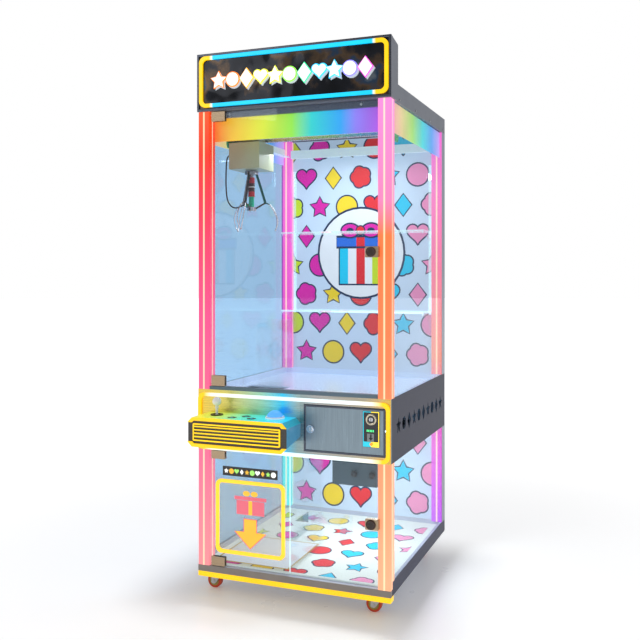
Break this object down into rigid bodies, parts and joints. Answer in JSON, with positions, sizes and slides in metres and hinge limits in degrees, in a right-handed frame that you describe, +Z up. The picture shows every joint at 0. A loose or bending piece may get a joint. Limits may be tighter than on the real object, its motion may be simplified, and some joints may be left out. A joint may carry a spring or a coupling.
{
  "type": "claw crane machine",
  "caption": "Tall glass-sided prize crane cabinet on castors, with a gantry claw, prize chute, joystick console, coin door and lit marquee.",
  "frame": {"origin": "on the floor under the middle of the whole machine's box", "axes": "+X to the right seen from the player, +Y to the back, +Z up"},
  "size_m": [0.806, 1.01, 2.153],
  "materials": {
    "base_paint": "brushed satin",
    "print_panel": "printed, satin",
    "led_tube": "lit diffuser",
    "light_column": "lit diffuser, satin",
    "clear_glass": "clear, polished",
    "body_paint": "satin",
    "white_laminate": "satin",
    "brushed_steel": "brushed",
    "console_paint": "gloss",
    "black_plastic": "satin",
    "grey_paint": "satin",
    "board_green": "solder mask",
    "gloss_black": "mirror gloss film",
    "lit_diffuser": "lit diffuser",
    "white_paint": "satin",
    "clear_acrylic": "clear acrylic",
    "screw_steel": "zinc plated",
    "silver_paint": "satin",
    "mech_plastic": "gloss",
    "white_plastic": "gloss",
    "button_plastic": "translucent gloss",
    "green_paint": "satin",
    "housing_paint": "satin",
    "cord_black": "satin sheath",
    "coil_red": "gloss",
    "chrome": "polished",
    "bronze_metal": "brushed, dark",
    "dark_metal": "satin black",
    "orange_plastic": "translucent gloss",
    "red_tyre": "moulded polyurethane"
  },
  "bodies": {
    "cabinet": {"base_frame": "base_paint", "lower_floor_panel": "print_panel", "neon_tubes": "led_tube", "corner_posts": "light_column", "side_glasses": "clear_glass", "back_panels": "print_panel", "mid_cabinet": "body_paint", "playfield_floor": "white_laminate", "front_fascia": "brushed_steel", "console_housing": "console_paint", "console_grille": "led_tube", "control_bezels": "black_plastic", "coin_box": "grey_paint", "cash_box": "grey_paint", "control_electronics": "board_green", "power_inlet": "black_plastic", "speaker": "black_plastic", "marquee_housing": "body_paint", "marquee_face": "gloss_black", "roof_panel": "body_paint", "light_bands": "lit_diffuser", "gantry_frame": "white_paint", "prize_chute": "clear_acrylic", "display_shelves": "clear_acrylic", "screws": "screw_steel"},
    "upper_door": {"upper_door_glass": "clear_glass", "upper_door_fittings": "bronze_metal"},
    "upper_lock": {"upper_lock_barrel": "dark_metal"},
    "lower_door": {"lower_door_glass": "clear_glass", "lower_door_fittings": "bronze_metal"},
    "lower_lock": {"lower_lock_barrel": "dark_metal"},
    "prize_flap": {"prize_flap": "led_tube"},
    "coin_door": {"coin_door": "silver_paint", "coin_mech": "mech_plastic"},
    "coin_lock": {"coin_lock_barrel": "chrome"},
    "reject_button": {"reject_button": "orange_plastic"},
    "joystick_gimbal": {"joystick_gimbal": "black_plastic"},
    "joystick": {"joystick": "white_plastic"},
    "start_button": {"start_button": "button_plastic"},
    "bridge": {"bridge": "green_paint"},
    "carriage": {"carriage": "housing_paint"},
    "hoist_drum": {"hoist_drum": "white_plastic"},
    "claw": {"claw_body": "coil_red", "claw_cable": "cord_black", "hoist_string": "cord_black"},
    "claw_plunger": {"claw_plunger": "chrome"},
    "prong_1": {"claw_prong_1": "chrome"},
    "link_1": {"claw_link_1": "dark_metal"},
    "prong_2": {"claw_prong_2": "chrome"},
    "link_2": {"claw_link_2": "dark_metal"},
    "prong_3": {"claw_prong_3": "chrome"},
    "link_3": {"claw_link_3": "dark_metal"},
    "castor_front_left": {"castor_fork_front_left": "screw_steel"},
    "wheel_front_left": {"castor_wheel_front_left": "red_tyre"},
    "castor_front_right": {"castor_fork_front_right": "screw_steel"},
    "wheel_front_right": {"castor_wheel_front_right": "red_tyre"},
    "castor_rear_left": {"castor_fork_rear_left": "screw_steel"},
    "wheel_rear_left": {"castor_wheel_rear_left": "red_tyre"},
    "castor_rear_right": {"castor_fork_rear_right": "screw_steel"},
    "wheel_rear_right": {"castor_wheel_rear_right": "red_tyre"}
  },
  "joints": [
    {"name": "upper_door_swing", "type": "hinge", "parent": "cabinet", "child": "upper_door", "pos_m": [-0.335, -0.355, 1.378], "axis": [0, 0, -1], "range_deg": [0, 100]},
    {"name": "upper_lock_turn", "type": "hinge", "parent": "upper_door", "child": "upper_lock", "pos_m": [0.329, -0.38, 1.359], "axis": [0, 1, 0], "range_deg": [0, 90]},
    {"name": "lower_door_swing", "type": "hinge", "parent": "cabinet", "child": "lower_door", "pos_m": [-0.335, -0.355, 0.349], "axis": [0, 0, -1], "range_deg": [0, 100]},
    {"name": "lower_lock_turn", "type": "hinge", "parent": "lower_door", "child": "lower_lock", "pos_m": [0.329, -0.38, 0.359], "axis": [0, 1, 0], "range_deg": [0, 90]},
    {"name": "prize_flap_swing", "type": "hinge", "parent": "lower_door", "child": "prize_flap", "pos_m": [-0.17175, -0.355, 0.465], "axis": [1, 0, 0], "range_deg": [0, 60]},
    {"name": "coin_door_swing", "type": "hinge", "parent": "cabinet", "child": "coin_door", "pos_m": [0.377, -0.3645, 0.694], "axis": [0, 0, 1], "range_deg": [0, 100]},
    {"name": "coin_lock_turn", "type": "hinge", "parent": "coin_door", "child": "coin_lock", "pos_m": [0.084, -0.365, 0.691], "axis": [0, 1, 0], "range_deg": [0, 90]},
    {"name": "reject_button_press", "type": "slide", "parent": "coin_door", "child": "reject_button", "axis": [0, 1, 0], "range_m": [0, 0.004], "stiffness_N_per_m": 150},
    {"name": "joystick_tilt_fore_aft", "type": "hinge", "parent": "cabinet", "child": "joystick_gimbal", "pos_m": [-0.285, -0.423, 0.7], "axis": [1, 0, 0], "range_deg": [-10, 10], "stiffness_Nm_per_rad": 1.2},
    {"name": "joystick_tilt_sideways", "type": "hinge", "parent": "joystick_gimbal", "child": "joystick", "pos_m": [-0.285, -0.423, 0.7], "axis": [0, 1, 0], "range_deg": [-10, 10], "stiffness_Nm_per_rad": 1.2},
    {"name": "start_button_press", "type": "slide", "parent": "cabinet", "child": "start_button", "axis": [0, 0, -1], "range_m": [0, 0.004], "stiffness_N_per_m": 300},
    {"name": "bridge_travel", "type": "slide", "parent": "cabinet", "child": "bridge", "axis": [0, 1, 0], "range_m": [-0.04, 0.34]},
    {"name": "carriage_travel", "type": "slide", "parent": "bridge", "child": "carriage", "axis": [1, 0, 0], "range_m": [-0.005, 0.53]},
    {"name": "claw_hoist", "type": "slide", "parent": "carriage", "child": "claw", "axis": [0, 0, -1], "range_m": [0, 0.64]},
    {"name": "hoist_drum_turn", "type": "hinge", "parent": "carriage", "child": "hoist_drum", "pos_m": [-0.267, -0.1335, 1.775], "axis": [1, 0, 0], "range_deg": [0, 1780]},
    {"name": "plunger_stroke", "type": "slide", "parent": "claw", "child": "claw_plunger", "axis": [0, 0, -1], "range_m": [0, 0.0286], "stiffness_N_per_m": 400},
    {"name": "prong_1_close", "type": "hinge", "parent": "claw", "child": "prong_1", "pos_m": [-0.24986, -0.1447, 1.698], "axis": [-0.515, 0.8572, 0], "range_deg": [0, 13.1]},
    {"name": "link_1_turn", "type": "hinge", "parent": "prong_1", "child": "link_1", "pos_m": [-0.21728, -0.12513, 1.5745], "axis": [-0.515, 0.8572, 0], "range_deg": [-53.56, 0]},
    {"name": "prong_2_close", "type": "hinge", "parent": "claw", "child": "prong_2", "pos_m": [-0.28449, -0.1453, 1.698], "axis": [-0.4848, -0.8746, 0], "range_deg": [0, 13.1]},
    {"name": "link_2_turn", "type": "hinge", "parent": "prong_2", "child": "link_2", "pos_m": [-0.31773, -0.12688, 1.5745], "axis": [-0.4848, -0.8746, 0], "range_deg": [-53.56, 0]},
    {"name": "prong_3_close", "type": "hinge", "parent": "claw", "child": "prong_3", "pos_m": [-0.26665, -0.175, 1.698], "axis": [0.9998, 0.0175, 0], "range_deg": [0, 13.1]},
    {"name": "link_3_turn", "type": "hinge", "parent": "prong_3", "child": "link_3", "pos_m": [-0.26599, -0.21299, 1.5745], "axis": [0.9998, 0.0175, 0], "range_deg": [-53.56, 0]},
    {"name": "castor_swivel_front_left", "type": "hinge", "parent": "cabinet", "child": "castor_front_left", "pos_m": [-0.34, -0.275, 0.09], "axis": [0, 0, 1], "continuous": true},
    {"name": "wheel_spin_front_left", "type": "hinge", "parent": "castor_front_left", "child": "wheel_front_left", "pos_m": [-0.371, -0.275, 0.03], "axis": [0, 1, 0], "continuous": true},
    {"name": "castor_swivel_front_right", "type": "hinge", "parent": "cabinet", "child": "castor_front_right", "pos_m": [0.34, -0.275, 0.09], "axis": [0, 0, 1], "continuous": true},
    {"name": "wheel_spin_front_right", "type": "hinge", "parent": "castor_front_right", "child": "wheel_front_right", "pos_m": [0.309, -0.275, 0.03], "axis": [0, 1, 0], "continuous": true},
    {"name": "castor_swivel_rear_left", "type": "hinge", "parent": "cabinet", "child": "castor_rear_left", "pos_m": [-0.34, 0.415, 0.09], "axis": [0, 0, 1], "continuous": true},
    {"name": "wheel_spin_rear_left", "type": "hinge", "parent": "castor_rear_left", "child": "wheel_rear_left", "pos_m": [-0.371, 0.415, 0.03], "axis": [0, 1, 0], "continuous": true},
    {"name": "castor_swivel_rear_right", "type": "hinge", "parent": "cabinet", "child": "castor_rear_right", "pos_m": [0.34, 0.415, 0.09], "axis": [0, 0, 1], "continuous": true},
    {"name": "wheel_spin_rear_right", "type": "hinge", "parent": "castor_rear_right", "child": "wheel_rear_right", "pos_m": [0.309, 0.415, 0.03], "axis": [0, 1, 0], "continuous": true}
  ],
  "couplings": [
    {"joint": "prong_1_close", "follows": "plunger_stroke", "rad_per_m": 7.9333},
    {"joint": "link_1_turn", "follows": "plunger_stroke", "rad_per_m": -32.562},
    {"joint": "prong_2_close", "follows": "plunger_stroke", "rad_per_m": 7.9333},
    {"joint": "link_2_turn", "follows": "plunger_stroke", "rad_per_m": -32.562},
    {"joint": "prong_3_close", "follows": "plunger_stroke", "rad_per_m": 7.9333},
    {"joint": "link_3_turn", "follows": "plunger_stroke", "rad_per_m": -32.562},
    {"joint": "hoist_drum_turn", "follows": "claw_hoist", "rad_per_m": 47.059}
  ]
}
